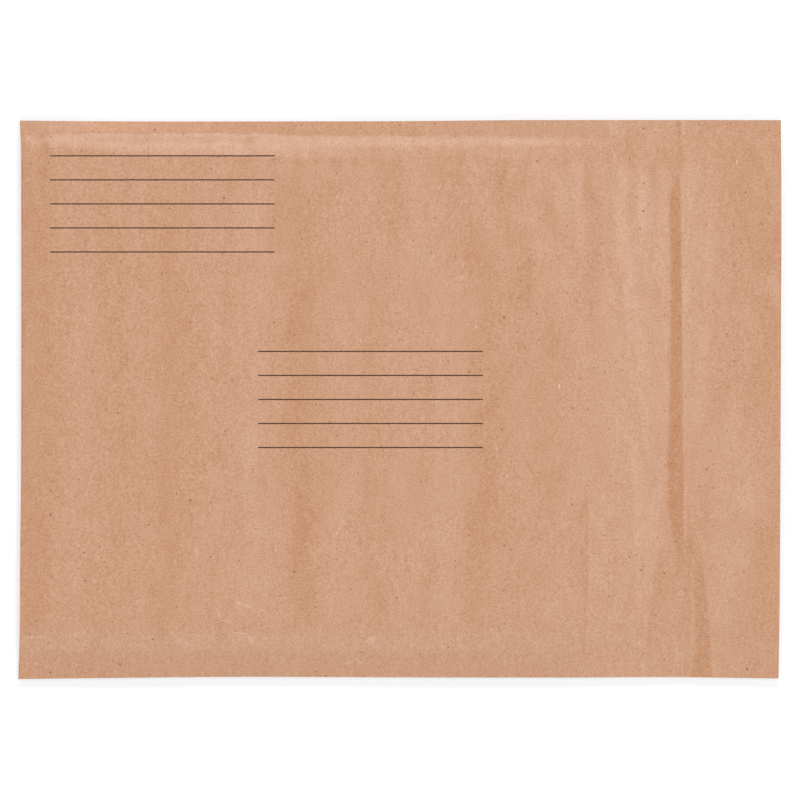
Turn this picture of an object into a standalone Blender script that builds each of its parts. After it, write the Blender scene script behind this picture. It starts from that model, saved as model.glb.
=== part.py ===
"""Padded mailing envelope, lying flat and empty with its flap unfolded. Metres, +Z up.

The outer bag is one blank of kraft paper: a back panel, a fold across the closed end (-X), and an
address panel on top that runs on past the mouth as the flap (+X). Its long sides (+Y and -Y) are bonded
as flat seams. A pouch of bubble film lines it, and the flap's inner face carries a band of adhesive
under a release liner. The origin is the middle of the footprint, on the surface it rests on.
"""

import math

import bmesh
import bpy

# Paper blank
WIDTH = 0.240  # across the bag, seam edge to seam edge
BODY_LENGTH = 0.285  # closed end to the flap's crease
FLAP_LENGTH = 0.0425  # crease to the flap's free edge
BACK_SETBACK = 0.010  # the back panel's mouth edge stops this far short of the crease
PAPER = 0.00013

# Seams and the pressed band along the closed end
FAR_SEAM = 0.005  # width of the seam at +Y
NEAR_SEAM = 0.012  # width of the seam at -Y
BOND = 0.0001  # thickness of the glue line between the two panels
BOND_INSET = 0.0005  # the glue stops this far short of the seam's sides
PRESSED_BAND = 0.0055  # flat band beside the fold
SEAM_HEIGHT = 0.005  # the glue line's height above the table

# Bubble film lining
FILM = 0.003  # one wall
FILM_STOP = 0.0048  # its mouth edge stops this far short of the back panel's
FILM_SETBACK = 0.007  # the lining starts this far inside the seams and the pressed band
SIDE_SEAL = 0.006  # width of the film that is sealed together round the pocket
POCKET = 0.005  # how far the empty pocket gapes at its middle
LEAST_GAPE = 0.0004  # what is left of that along the seals

# How fast the panels part: the distance from a seam at which they are steepest
FAR_SHOULDER = 0.004
NEAR_SHOULDER = 0.006
END_SHOULDER = 0.005
BACK_PRESS = 1.25  # the back panel would sag this much lower than the table lets it

# Mouth, crease and flap
CREASE_DROP = 0.0007  # the crease lies this much below the padded panel
MOUTH_DIP = 0.0011  # the dip of the unpadded paper between the lining and the crease
TIP_DROP = 0.0013  # the middle of the flap's free edge lies this much below the crease
TIP_LIFT = 0.0012  # its corners lie this much above the seams
TIP_CURVE = 2.4  # exponent of the arch between them

# Closure
ADHESIVE_WIDTH = 0.014
ADHESIVE_THICKNESS = 0.00015
ADHESIVE_SIDE_MARGIN = 0.006  # from its ends to the flap's sides
ADHESIVE_TIP_MARGIN = 0.009  # from it to the flap's free edge
LINER_OVERHANG = 0.003  # the liner is wider than the adhesive by this on each side
LINER_TAB = 0.004  # and longer by this at each end
LINER_THICKNESS = 0.00008

CLEARANCE = 0.0003  # between pieces that touch

# Places that follow
X_CLOSED = -(BODY_LENGTH + FLAP_LENGTH) / 2
X_CREASE = X_CLOSED + BODY_LENGTH
X_MOUTH = X_CREASE - BACK_SETBACK
X_TIP = X_CREASE + FLAP_LENGTH
X_BAND = X_CLOSED + PRESSED_BAND
X_FILM_END = X_MOUTH - FILM_STOP
Y_FAR = WIDTH / 2 - FAR_SEAM
Y_NEAR = NEAR_SEAM - WIDTH / 2
X_FILM = X_BAND + FILM_SETBACK
Y_FILM_FAR = Y_FAR - FILM_SETBACK
Y_FILM_NEAR = Y_NEAR + FILM_SETBACK
FOLD_RADIUS = (BOND + PAPER) / 2
X_FOLD = X_CLOSED + PAPER / 2 + FOLD_RADIUS
TOTAL_HEIGHT = 2 * (PAPER + CLEARANCE + FILM) + POCKET
FRONT_RISE = TOTAL_HEIGHT - PAPER / 2 - SEAM_HEIGHT - FOLD_RADIUS
BACK_FALL = BACK_PRESS * (SEAM_HEIGHT - FOLD_RADIUS - PAPER / 2)

# Mesh
FINE = 0.0025  # spacing of the stations beside a seam
GROWTH = 1.35  # each station is this much further from the last
COARSE = 0.022  # the widest spacing
FOLD_STEPS = 6


def rise(distance, steepest_at):
    """From 0 at a seam to 1 well inside it, steepest at the given distance."""
    if distance <= 0:
        return 0.0
    t = distance / steepest_at
    return 1 - (1 + t) * math.exp(-t)


def arch(y):
    """How far the panels have parted across the bag, 0 on the seams and 1 in the middle."""
    return rise(Y_FAR - y, FAR_SHOULDER) * rise(y - Y_NEAR, NEAR_SHOULDER)


def swell(x):
    """How far they have parted along the bag."""
    return rise(x - X_BAND, END_SHOULDER)


def back_height(x, y):
    """Middle of the back panel's paper. The table stops it."""
    free = SEAM_HEIGHT - FOLD_RADIUS - BACK_FALL * arch(y) * swell(x)
    return max(free, PAPER / 2)


def body_height(x, y):
    """Middle of the address panel's paper, up to the crease."""
    past = max(0.0, (x - X_FILM_END) / (X_CREASE - X_FILM_END))
    dip = CREASE_DROP * past + MOUTH_DIP * math.sin(math.pi * past) ** 2
    lift = FRONT_RISE * swell(x) - dip
    return SEAM_HEIGHT + FOLD_RADIUS + lift * arch(y)


def tip_height(y):
    """Middle of the paper along the flap's free edge."""
    middle = TOTAL_HEIGHT - CREASE_DROP - TIP_DROP
    fall = min(1.0, abs(2 * y / WIDTH)) ** TIP_CURVE
    return middle + (SEAM_HEIGHT + TIP_LIFT - middle) * fall


def front_height(x, y):
    """Middle of the address panel's paper and of the flap, which is ruled from the crease to its tip."""
    if x <= X_CREASE:
        return body_height(x, y)
    share = (x - X_CREASE) / FLAP_LENGTH
    return (1 - share) * body_height(X_CREASE, y) + share * tip_height(y)


def graded(start, end):
    """Stations from start to end, close together at both and wider between."""
    length = end - start
    steps = []
    step = FINE
    while 2 * sum(steps) + 2 * step < length:
        steps.append(step)
        step = min(step * GROWTH, COARSE)
    middle = length - 2 * sum(steps)
    count = max(1, round(middle / COARSE))
    every = steps + [middle / count] * count + steps[::-1]
    return [start + sum(every[:i]) for i in range(len(every))] + [end]


def evenly(start, end):
    """Stations from start to end, about as close as beside a seam."""
    count = max(1, round((end - start) / FINE))
    return [start + (end - start) * n / count for n in range(count + 1)]


def across_bag():
    """Stations over the padded width, with one on each side of the lining."""
    near, far = evenly(Y_NEAR, Y_FILM_NEAR), evenly(Y_FILM_FAR, Y_FAR)
    return near + graded(Y_FILM_NEAR, Y_FILM_FAR)[1:-1] + far


def material(name, colour, roughness, metallic=0.0):
    made = bpy.data.materials.new(name)
    made.use_nodes = True
    shader = made.node_tree.nodes["Principled BSDF"]
    shader.inputs["Base Color"].default_value = (*colour, 1)
    shader.inputs["Roughness"].default_value = roughness
    shader.inputs["Metallic"].default_value = metallic
    return made


def collection(name):
    made = bpy.data.collections.new(name)
    bpy.context.scene.collection.children.link(made)
    return made


def add_object(name, bm, home, look=None):
    mesh = bpy.data.meshes.new(name)
    bmesh.ops.recalc_face_normals(bm, faces=bm.faces[:])
    bm.to_mesh(mesh)
    bm.free()
    made = bpy.data.objects.new(name, mesh)
    home.objects.link(made)
    if look:
        mesh.materials.append(look)
        mesh.shade_smooth()
        mesh.set_sharp_from_angle(angle=math.radians(40))
    return made


def grid(columns, rows):
    """A flat grid whose points stand at these stations, with their numbers as (column, row)."""
    bm = bmesh.new()
    across, up = len(columns) - 1, len(rows) - 1
    bmesh.ops.create_grid(bm, x_segments=across, y_segments=up, size=0.5)
    for v in bm.verts:
        column = round((v.co.x + 0.5) * across)
        row = round((v.co.y + 0.5) * up)
        v.co = (columns[column], rows[row], 0)
    return bm


def solidify(made, thickness):
    modifier = made.modifiers.new("thickness", "SOLIDIFY")
    modifier.thickness = thickness
    modifier.offset = 0
    modifier.use_even_offset = True


def combine(made, other, operation):
    modifier = made.modifiers.new(other.name, "BOOLEAN")
    modifier.operation = operation
    modifier.object = other


def as_guide(made):
    made.hide_render = True
    made.display_type = "WIRE"
    return made


def blank_stations():
    """Stations along the flat blank, from the back panel's mouth edge round the fold to the flap's tip,
    each with its place in the folded bag: ("back", x), ("fold", turn) or ("front", x)."""
    padded = evenly(X_BAND, X_FILM)[:-1] + graded(X_FILM, X_FILM_END)
    mouth = evenly(X_FILM_END, X_CREASE)
    back = [x for x in padded if x < X_MOUTH - FINE] + [X_MOUTH]
    found = [("back", x) for x in reversed(back)]
    found += [("fold", math.pi * n / FOLD_STEPS) for n in range(FOLD_STEPS + 1)]
    found += [("front", x) for x in padded + mouth[1:]]
    flap = [X_CREASE + FLAP_LENGTH * n / 4 for n in range(1, 5)]
    return found + [("front", x) for x in flap]


def folded(station, y):
    """Where a point of the blank lies once the bag is folded."""
    panel, place = station
    if panel == "back":
        return place, y, back_height(place, y)
    if panel == "front":
        return place, y, front_height(place, y)
    x = X_FOLD - FOLD_RADIUS * math.sin(place)
    return x, y, SEAM_HEIGHT - FOLD_RADIUS * math.cos(place)


def seam_bond(name, low, high, home):
    """The glue line of a side seam. It reaches the middle of both papers."""
    bm = bmesh.new()
    bmesh.ops.create_cube(bm, size=1)
    start, end = X_BAND, X_MOUTH - BOND_INSET
    sides = (end - start, high - low - 2 * BOND_INSET, 2 * FOLD_RADIUS)
    centre = ((start + end) / 2, (low + high) / 2, SEAM_HEIGHT)
    bmesh.ops.scale(bm, vec=sides, verts=bm.verts[:])
    bmesh.ops.translate(bm, vec=centre, verts=bm.verts[:])
    return as_guide(add_object(name, bm, home))


def kraft_envelope(parts, guides):
    stations = blank_stations()
    rows = [-WIDTH / 2] + across_bag() + [WIDTH / 2]
    bm = grid([float(n) for n in range(len(stations))], rows)
    for v in bm.verts:
        v.co = folded(stations[round(v.co.x)], v.co.y)
    paper = material("kraft_paper", (0.61, 0.35, 0.22), 0.85)
    made = add_object("kraft_envelope", bm, parts, paper)
    solidify(made, PAPER)
    far = seam_bond("far_seam_bond", Y_FAR, WIDTH / 2, guides)
    near = seam_bond("near_seam_bond", -WIDTH / 2, Y_NEAR, guides)
    combine(made, far, "UNION")
    combine(made, near, "UNION")


def pillow(name, x_stations, y_stations, floor, ceiling, home, look=None):
    """A closed solid between two height functions over a grid of stations."""
    bm = grid(x_stations, y_stations)
    lower = bm.verts[:]
    raised = bmesh.ops.extrude_face_region(bm, geom=bm.faces[:], use_keep_orig=True)
    upper = [g for g in raised["geom"] if isinstance(g, bmesh.types.BMVert)]
    for v in lower:
        v.co.z = floor(v.co.x, v.co.y)
    for v in upper:
        v.co.z = ceiling(v.co.x, v.co.y)
    return add_object(name, bm, home, look)


def lining_floor(x, y):
    return back_height(x, y) + PAPER / 2 + CLEARANCE


def lining_ceiling(x, y):
    return front_height(x, y) - PAPER / 2 - CLEARANCE


def wall(x, y):
    """Thickness of the film, which is squeezed where the panels are close."""
    room = lining_ceiling(x, y) - lining_floor(x, y)
    return min(FILM, (room - LEAST_GAPE) / 2)


def bubble_lining(parts, guides):
    film = material("bubble_film", (0.80, 0.84, 0.86), 0.25)
    made = pillow(
        "bubble_lining",
        graded(X_FILM, X_FILM_END),
        graded(Y_FILM_NEAR, Y_FILM_FAR),
        lining_floor,
        lining_ceiling,
        parts,
        film,
    )
    pocket = pillow(
        "pocket",
        graded(X_FILM + SIDE_SEAL, X_FILM_END) + [X_CREASE],
        graded(Y_FILM_NEAR + SIDE_SEAL, Y_FILM_FAR - SIDE_SEAL),
        lambda x, y: lining_floor(min(x, X_FILM_END), y) + wall(min(x, X_FILM_END), y),
        lambda x, y: lining_ceiling(min(x, X_FILM_END), y) - wall(min(x, X_FILM_END), y),
        guides,
    )
    combine(made, as_guide(pocket), "DIFFERENCE")


def strip(name, x_ends, side, depth, thickness, home, look):
    """A thin band on the flap's inner face, from -side to side across the bag. depth is from the middle
    of the paper to its own."""
    rows = [-side] + [y for y in across_bag() if abs(y) < side] + [side]
    bm = grid(x_ends, rows)
    for v in bm.verts:
        v.co.z = front_height(v.co.x, v.co.y) - depth
    made = add_object(name, bm, home, look)
    solidify(made, thickness)


def closure(parts):
    end = X_TIP - ADHESIVE_TIP_MARGIN
    start = end - ADHESIVE_WIDTH
    side = WIDTH / 2 - ADHESIVE_SIDE_MARGIN
    to_adhesive = PAPER / 2 + CLEARANCE + ADHESIVE_THICKNESS / 2
    glue = material("adhesive", (0.78, 0.72, 0.55), 0.35)
    strip(
        "adhesive_strip",
        (start, end),
        side,
        to_adhesive,
        ADHESIVE_THICKNESS,
        parts,
        glue,
    )
    to_liner = to_adhesive + (ADHESIVE_THICKNESS + LINER_THICKNESS) / 2 + CLEARANCE
    tape = material("release_paper", (0.86, 0.86, 0.83), 0.4)
    strip(
        "release_liner",
        (start - LINER_OVERHANG, end + LINER_OVERHANG),
        side + LINER_TAB,
        to_liner,
        LINER_THICKNESS,
        parts,
        tape,
    )


def main():
    for old in list(bpy.data.objects):
        bpy.data.objects.remove(old)
    parts = collection("padded_envelope")
    guides = collection("cutters")
    kraft_envelope(parts, guides)
    bubble_lining(parts, guides)
    closure(parts)


main()
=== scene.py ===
"""Looks of the padded mailing envelope: creased kraft paper over bubble film, seen from straight above.

Metres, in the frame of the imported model: +X from the closed end to the flap, +Y to the top of the
picture, +Z up. The paper is one folded sheet whose height over the table is a function of place. The
film, the adhesive and its liner follow that sheet.
"""

import math
import random

import bmesh
import bpy
import numpy as np
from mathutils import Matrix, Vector

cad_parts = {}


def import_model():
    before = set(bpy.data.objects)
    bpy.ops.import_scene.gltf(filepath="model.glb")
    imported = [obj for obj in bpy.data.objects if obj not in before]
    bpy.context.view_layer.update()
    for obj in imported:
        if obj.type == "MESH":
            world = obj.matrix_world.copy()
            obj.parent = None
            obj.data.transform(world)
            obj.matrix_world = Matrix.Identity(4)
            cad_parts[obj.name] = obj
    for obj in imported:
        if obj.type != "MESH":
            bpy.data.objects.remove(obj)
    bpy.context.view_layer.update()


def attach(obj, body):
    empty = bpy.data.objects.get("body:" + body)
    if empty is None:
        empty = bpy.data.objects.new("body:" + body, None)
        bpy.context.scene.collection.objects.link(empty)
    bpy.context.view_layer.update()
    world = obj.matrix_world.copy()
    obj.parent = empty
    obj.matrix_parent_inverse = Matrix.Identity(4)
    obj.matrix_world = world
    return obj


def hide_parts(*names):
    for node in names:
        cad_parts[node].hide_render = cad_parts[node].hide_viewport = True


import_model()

MM = 0.001
FULL_TURN = 2 * math.pi

# Camera, straight down. At EDGE_HEIGHT over the table, one pixel of the picture spans PIXEL metres.
IMAGE = 800  # width and height of the picture in pixels
CAMERA_HEIGHT = 14.0
CAMERA_REACH = 40
EDGE_HEIGHT = 0.006
PIXEL = 0.0004303
CENTRE_X = 399.6  # pixel column of the object's origin
CENTRE_Y = 399.2  # pixel row of the object's origin
SENSOR = 36.0  # millimetres

# Sizes of the paper blank and of its seams, as in the CAD model
WIDTH = 0.240
BODY_LENGTH = 0.285  # from the closed end to the flap's crease
FLAP_LENGTH = 0.0425
BACK_SETBACK = 0.010  # the back panel ends this far short of the crease
PAPER = 0.00013
BOND = 0.0001  # glue between the two papers of a seam
FAR_SEAM = 0.005
NEAR_SEAM = 0.012
PRESSED_BAND = 0.0055  # beside the fold at the closed end
SEAM_HEIGHT = 0.005  # of the seams over the table
TOTAL_HEIGHT = 0.01186

X_CLOSED = -(BODY_LENGTH + FLAP_LENGTH) / 2
X_CREASE = X_CLOSED + BODY_LENGTH
X_MOUTH = X_CREASE - BACK_SETBACK
X_TIP = X_CREASE + FLAP_LENGTH
X_BAND = X_CLOSED + PRESSED_BAND
Y_FAR = WIDTH / 2 - FAR_SEAM  # inner edge of the far seam
Y_NEAR = NEAR_SEAM - WIDTH / 2  # inner edge of the near seam
FOLD_RADIUS = (BOND + PAPER) / 2
X_FOLD = X_CLOSED + PAPER / 2 + FOLD_RADIUS
FRONT_RISE = TOTAL_HEIGHT - PAPER / 2 - SEAM_HEIGHT - FOLD_RADIUS


def col(pixel):
    """X of a pixel column."""
    return (np.asarray(pixel, float) - CENTRE_X) * PIXEL


def row(pixel):
    """Y of a pixel row."""
    return (CENTRE_Y - np.asarray(pixel, float)) * PIXEL


def line(points):
    """Smooth function from Y to X through these (pixel row, pixel column) points."""
    places = np.array(sorted((float(row(y)), float(col(x))) for y, x in points))
    return lambda y: smooth_interp(y, places[:, 0], places[:, 1])


def smooth_interp(x, xs, values):
    """Cubic interpolation that never passes the values on either side."""
    xs, values = np.asarray(xs, float), np.asarray(values, float)
    secants = np.diff(values) / np.diff(xs)
    before, after = secants[:-1], secants[1:]
    same_way = before * after > 0
    total = np.where(same_way, before + after, 1.0)
    inner = np.where(same_way, 2 * before * after / total, 0)
    slopes = np.concatenate([secants[:1], inner, secants[-1:]])
    x = np.clip(x, xs[0], xs[-1])
    i = np.clip(np.searchsorted(xs, x) - 1, 0, len(xs) - 2)
    h = xs[i + 1] - xs[i]
    t = (x - xs[i]) / h
    return (
        (1 + 2 * t) * (1 - t) ** 2 * values[i]
        + t * (1 - t) ** 2 * h * slopes[i]
        + t * t * (3 - 2 * t) * values[i + 1]
        + t * t * (t - 1) * h * slopes[i + 1]
    )


def step(x, start, end):
    """0 before start, 1 after end, smooth between."""
    t = np.clip((x - start) / (end - start), 0, 1)
    return t * t * (3 - 2 * t)


def window(x, start, end, fade):
    """1 between start and end, fading to 0 outside them."""
    return step(x, start - fade, start) * (1 - step(x, end, end + fade))


def rise(distance, steepest_at):
    """From 0 at a seam to 1 well inside it, steepest at this distance."""
    t = np.maximum(distance, 0) / steepest_at
    return 1 - (1 + t) * np.exp(-t)


# Outline of the sheet in the picture: pixel row and column on its left and right edges
LEFT_EDGE = ((120, 19.8), (152, 21.1), (300, 21.3), (470, 21.1), (545, 20.3), (632, 19.7), (678, 18.4))
RIGHT_EDGE = ((120, 780.9), (212, 781.35), (302, 781.05), (452, 780.45), (602, 779.65), (678, 778.6))
# and pixel column and row on its far and near edges
TOP_EDGE = (
    (18, 120.5),
    (90, 121.15),
    (180, 121.45),
    (382, 121.15),
    (542, 120.05),
    (680, 120.0),
    (781, 120.1),
)
BOTTOM_EDGE = (
    (18, 679.15),
    (100, 678.15),
    (250, 676.85),
    (440, 677.5),
    (560, 677.6),
    (660, 677.1),
    (778, 678.5),
)


def bow(edge, along, across):
    """Function that gives one edge's place across itself, from the place along it."""
    along_m = along([p for p, _ in edge])
    across_m = across([q for _, q in edge])
    order = np.argsort(along_m)
    return lambda place: smooth_interp(place, along_m[order], across_m[order])


left_edge = bow(LEFT_EDGE, row, col)
right_edge = bow(RIGHT_EDGE, row, col)
top_edge = bow(TOP_EDGE, col, row)
bottom_edge = bow(BOTTOM_EDGE, col, row)


def placed(u, v):
    """Plan place on the bowed outline of a point of the straight blank, u along the bag and v across."""
    share = v / WIDTH + 0.5
    y = bottom_edge(u) + (top_edge(u) - bottom_edge(u)) * share
    along = (u - X_CLOSED) / (X_TIP - X_CLOSED)
    left, right = left_edge(y), right_edge(y)
    x = u + (left - X_CLOSED) * (1 - along) ** 3 + (right - X_TIP) * along**3
    return x, y


# Padded form of the address panel: a pad of even height inside its shoulders, and a slow crown on it.
# The far seam is the one at the top of the picture.
PAD_HEIGHT = 0.0037
# Slope of the far shoulder against the distance inside the far seam, in millimetres
FAR_PROFILE = (
    (0.0, 0.16),
    (0.4, 0.22),
    (1.3, 0.275),
    (2.2, 0.31),
    (3.0, 0.335),
    (3.9, 0.34),
    (4.7, 0.30),
    (5.6, 0.265),
    (7.3, 0.235),
    (9.0, 0.245),
    (10.8, 0.21),
    (14.0, 0.09),
    (20.0, 0.02),
    (26.0, 0.0),
)
# How far inside the seam it starts, by pixel column
FAR_START = ((20, 0.0), (262, 0.0), (284, 0.0008), (780, 0.0008))
FAR_WAVER = 0.0004
# Share of the rise that its steep part makes, by pixel column. The rest is slow.
FAR_STEEP = (
    (20, 0.80),
    (38, 0.76),
    (43, 0.80),
    (55, 1.10),
    (100, 1.10),
    (125, 1.03),
    (160, 0.99),
    (262, 0.99),
    (300, 0.92),
    (330, 0.97),
    (455, 1.05),
    (500, 0.98),
    (552, 0.98),
    (578, 0.84),
    (606, 0.74),
    (660, 0.56),
    (780, 0.30),
)
FAR_STEEP_WAVER = 0.06
FAR_SLOW = 0.016
FAR_DIP = 0.0016  # the far seam dips by this, times the share below for each pixel column
FAR_DIP_COLUMNS = (
    (20, 0.0),
    (42, 0.02),
    (72, 0.38),
    (90, 0.60),
    (130, 0.86),
    (180, 0.98),
    (204, 1.0),
    (330, 0.5),
    (460, 0.0),
    (780, 0.0),
)
NEAR_SHOULDER = (628, 651)  # pixel rows between which the panel drops to the near seam
NEAR_WAVER = 0.0011
NEAR_FOOT_WAVER = 0.15 * NEAR_WAVER
NEAR_CORNER = 0.0022
NEAR_STEEP = ((20, 0.60), (530, 0.62), (580, 0.50), (640, 0.30), (780, 0.15))
NEAR_SLOW = 0.018
# Share of the padding's height at the closed end's fold, and what it gains in the rise beside it
END_FOLD = 0.52
END_GAIN = 0.17
END_RAMP = 0.0135
END_CORNER = 0.0035
END_SLOW = 0.080
SHOULDER_BLEND = 0.10  # how softly the far and the near shoulder meet
END_BLEND = 0.14  # and both with the closed end
CROWN_SIDE = 0.038  # the crown is steepest this far from either seam
CROWN_END = 0.110  # and this far from the closed end
CROWN_SCALE = 1.15
NEAR_LIFT = 0.0006  # the near seam lies this much higher than the far one
NEAR_LIFT_ALONG = 0.06  # it gets there over this distance from the closed end
NEAR_LIFT_INNER = -0.05  # y at which the lift has died out
SEAM_DROOP = 0.0009  # the near seam's outer edge hangs this much lower
SEAM_DROOP_CORNER = 0.001
FLAP_RISE = 0.0006  # the flap's tip lies this much higher than its crease
# Waves and ripples have this share of their height on the seams, and all of it where the pad is high
LOOSE_SEAM = 0.15
LOOSE_GAIN = 1.6
# Back panel: where its slopes beside the far seam, the near seam and the fold are steepest, how far the
# fold's padding reaches, how far past the table its own fall would take it, and how softly it lands
BACK_FAR, BACK_NEAR, BACK_END = 0.004, 0.006, 0.005
BACK_FOLD_REACH = 0.015
BACK_PRESS = 1.25
BACK_LANDING = 0.0002


def uneven(x, seed, lengths=(0.009, 0.014, 0.023, 0.041)):
    """Random waver along a line, about between -1 and 1."""
    rng = random.Random(seed)
    return sum(0.5 * np.sin(FULL_TURN * (x / length + rng.random())) for length in lengths)


def ramp(distance, width, corner):
    """From 0 to 1 at an even slope over the width, with corners rounded at this radius."""
    start = np.sqrt(distance**2 + corner**2)
    end = np.sqrt((distance - width) ** 2 + corner**2)
    return 0.5 * (1 + (start - end) / width)


def lower_of(a, b, softness):
    """The lower of two heights, rounded where they cross."""
    return 0.5 * (a + b - np.sqrt((a - b) ** 2 + softness**2))


def higher_of(a, b, softness):
    """The higher of two heights, rounded where they cross."""
    return 0.5 * (a + b + np.sqrt((a - b) ** 2 + softness**2))


def by_column(x, table):
    """Value at x from (pixel column, value) pairs."""
    columns, values = zip(*table)
    return smooth_interp(x, col(columns), values)


def profile(slopes, spacing=0.1):
    """Distances in metres, and the share of the whole rise reached there, from (mm, slope) pairs."""
    at = np.arange(0, slopes[-1][0] + spacing, spacing)
    slope = smooth_interp(at, *zip(*slopes))
    height = np.cumsum(slope) - slope / 2
    return at * MM, height / height[-1]


FAR_SHAPE = profile(FAR_PROFILE)


def far_shoulder(x, y):
    """From 0 at the far seam to 1 inside it."""
    distance = Y_FAR - y + FAR_WAVER * uneven(x, 21) - by_column(x, FAR_START)
    return np.interp(distance, *FAR_SHAPE)


def padding(x, y, height):
    """How far the address panel has risen from its seams, up to this height."""
    steep = by_column(x, FAR_STEEP) * (1 + FAR_STEEP_WAVER * uneven(x, 22))
    far = steep * far_shoulder(x, y) + (1 - steep) * rise(Y_FAR - y, FAR_SLOW)
    steep = by_column(x, NEAR_STEEP)
    top = row(NEAR_SHOULDER[0]) + NEAR_WAVER * uneven(x, 23)
    bottom = row(NEAR_SHOULDER[1]) + NEAR_FOOT_WAVER * uneven(x, 24)
    near = steep * ramp(y - bottom, top - bottom, NEAR_CORNER)
    near = near + (1 - steep) * rise(y - Y_NEAR, NEAR_SLOW)
    end = END_FOLD + END_GAIN * ramp(x - X_CLOSED, END_RAMP, END_CORNER)
    end = end + (1 - END_FOLD - END_GAIN) * rise(x - X_CLOSED, END_SLOW)
    pad = lower_of(lower_of(far, near, SHOULDER_BLEND), end, END_BLEND)
    pad = np.maximum(pad - lower_of(0, end, END_BLEND), 0) * PAD_HEIGHT
    crown = rise(Y_FAR - y, CROWN_SIDE) * rise(y - Y_NEAR, CROWN_SIDE) * rise(x - X_CLOSED, CROWN_END)
    return pad + CROWN_SCALE * (height - PAD_HEIGHT) * crown


def seam_lift(x, y):
    """The near seam rides a little higher away from the closed end, its edge droops, and the far seam
    dips between the closed end and the middle."""
    lift = NEAR_LIFT * step(x, X_CLOSED, X_CLOSED + NEAR_LIFT_ALONG)
    lift = lift * (1 - step(y, -WIDTH / 2, NEAR_LIFT_INNER))
    droop = SEAM_DROOP * ramp(Y_NEAR - y, NEAR_SEAM, SEAM_DROOP_CORNER)
    return lift - droop - FAR_DIP * by_column(x, FAR_DIP_COLUMNS) * (1 - far_shoulder(x, y))


# Waves of the address panel over the film: pixel column, pixel rows from and to, half width in pixels,
# slope down to the right at its steepest, and how many pixels it drifts right over 100 rows. Each draws
# its own random unevenness in this order.
WAVES = (
    (76, 190, 640, 22, 0.012, 0),
    (120, 240, 560, 16, -0.014, 0),
    (168, 240, 640, 14, -0.034, -2),
    (208, 190, 560, 14, 0.010, 0),
    (250, 200, 640, 17, 0.034, -1),
    (297, 205, 420, 15, -0.050, 2),
    (301, 440, 600, 11, -0.085, 2),
    (338, 230, 640, 11, 0.014, 1),
    (370, 420, 640, 10, -0.032, 2),
    (390, 170, 236, 9, -0.050, 14),
    (410, 260, 600, 14, 0.004, 0),
    (440, 280, 640, 11, 0.018, 0),
    (458, 170, 250, 12, -0.046, 6),
    (482, 260, 420, 14, -0.062, 1),
    (477, 450, 600, 12, -0.075, -5),
    (503, 150, 178, 7, -0.040, 8),
    (514, 250, 610, 26, -0.030, 0),
    (543, 150, 215, 6, -0.050, 26),
    (728, 448, 678, 22, 0.058, 0),
    (752, 440, 545, 14, 0.030, 0),
    (602, 185, 400, 11, -0.026, 0),
    (613, 188, 262, 7, -0.048, 4),
    (628, 272, 408, 6, -0.046, 5),
    (762, 545, 678, 13, -0.055, 0),
    (742, 130, 395, 38, -0.024, 0),
    (571, 150, 240, 7, -0.055, 0),
    (590, 190, 300, 12, -0.070, 0),
    (638, 165, 292, 7, -0.055, 3),
    (652, 150, 300, 16, -0.020, 0),
    (772, 240, 350, 9, -0.034, 0),
    (706, 140, 400, 18, 0.020, 3),
    (552, 222, 470, 16, -0.052, 0),
    (436, 168, 222, 9, -0.045, 0),
    (474, 170, 236, 9, -0.050, 0),
    (426, 395, 600, 10, -0.034, 0),
    (277, 192, 262, 8, -0.034, 0),
    (326, 400, 530, 9, -0.030, 0),
    (330, 210, 262, 9, -0.030, 0),
    (499, 395, 500, 8, -0.032, 0),
    (195, 322, 405, 8, -0.028, 0),
    (738, 318, 405, 14, 0.034, 0),
    (543, 500, 560, 8, -0.030, 0),
    (384, 500, 600, 8, -0.028, 0),
    (499, 186, 262, 12, -0.050, 0),
    (524, 194, 285, 12, -0.060, 0),
    (697, 345, 402, 7, 0.045, 0),
    (725, 590, 676, 9, 0.050, 0),
    (746, 504, 560, 13, 0.045, 0),
    (38, 135, 262, 6, 0.034, 0),
    (40, 395, 490, 6, 0.034, 0),
    (250, 442, 484, 9, 0.040, 0),
    (768, 245, 300, 8, -0.040, 0),
)
WAVE_FADE = 0.016
WAVE_RETURN = 4  # a wave's fall is made good again over a strip this many times its width
# How a wave wanders sideways and varies in strength along its length, each as (size, length in metres)
WAVE_WANDER = ((0.0011, 0.017), (0.0008, 0.0075))
WAVE_UNEVEN = ((0.28, 0.011), (0.18, 0.0052))
RIPPLES = 44
RIPPLE_SLOPE = 0.012  # root mean square of all of them together
RIPPLE_LENGTHS = (0.0065, 0.032)
RIPPLE_SPREAD = 0.6  # of their headings, in radians


def streak(x, half):
    """Height of a strip, about this wide to each side, that falls to the right with a slope of 1."""
    return -half * np.tanh(x / half)


def swing(y, parts, phases):
    """Sum of sine waves along y."""
    return sum(size * np.sin(y / length + phase) for (size, length), phase in zip(parts, phases))


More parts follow.
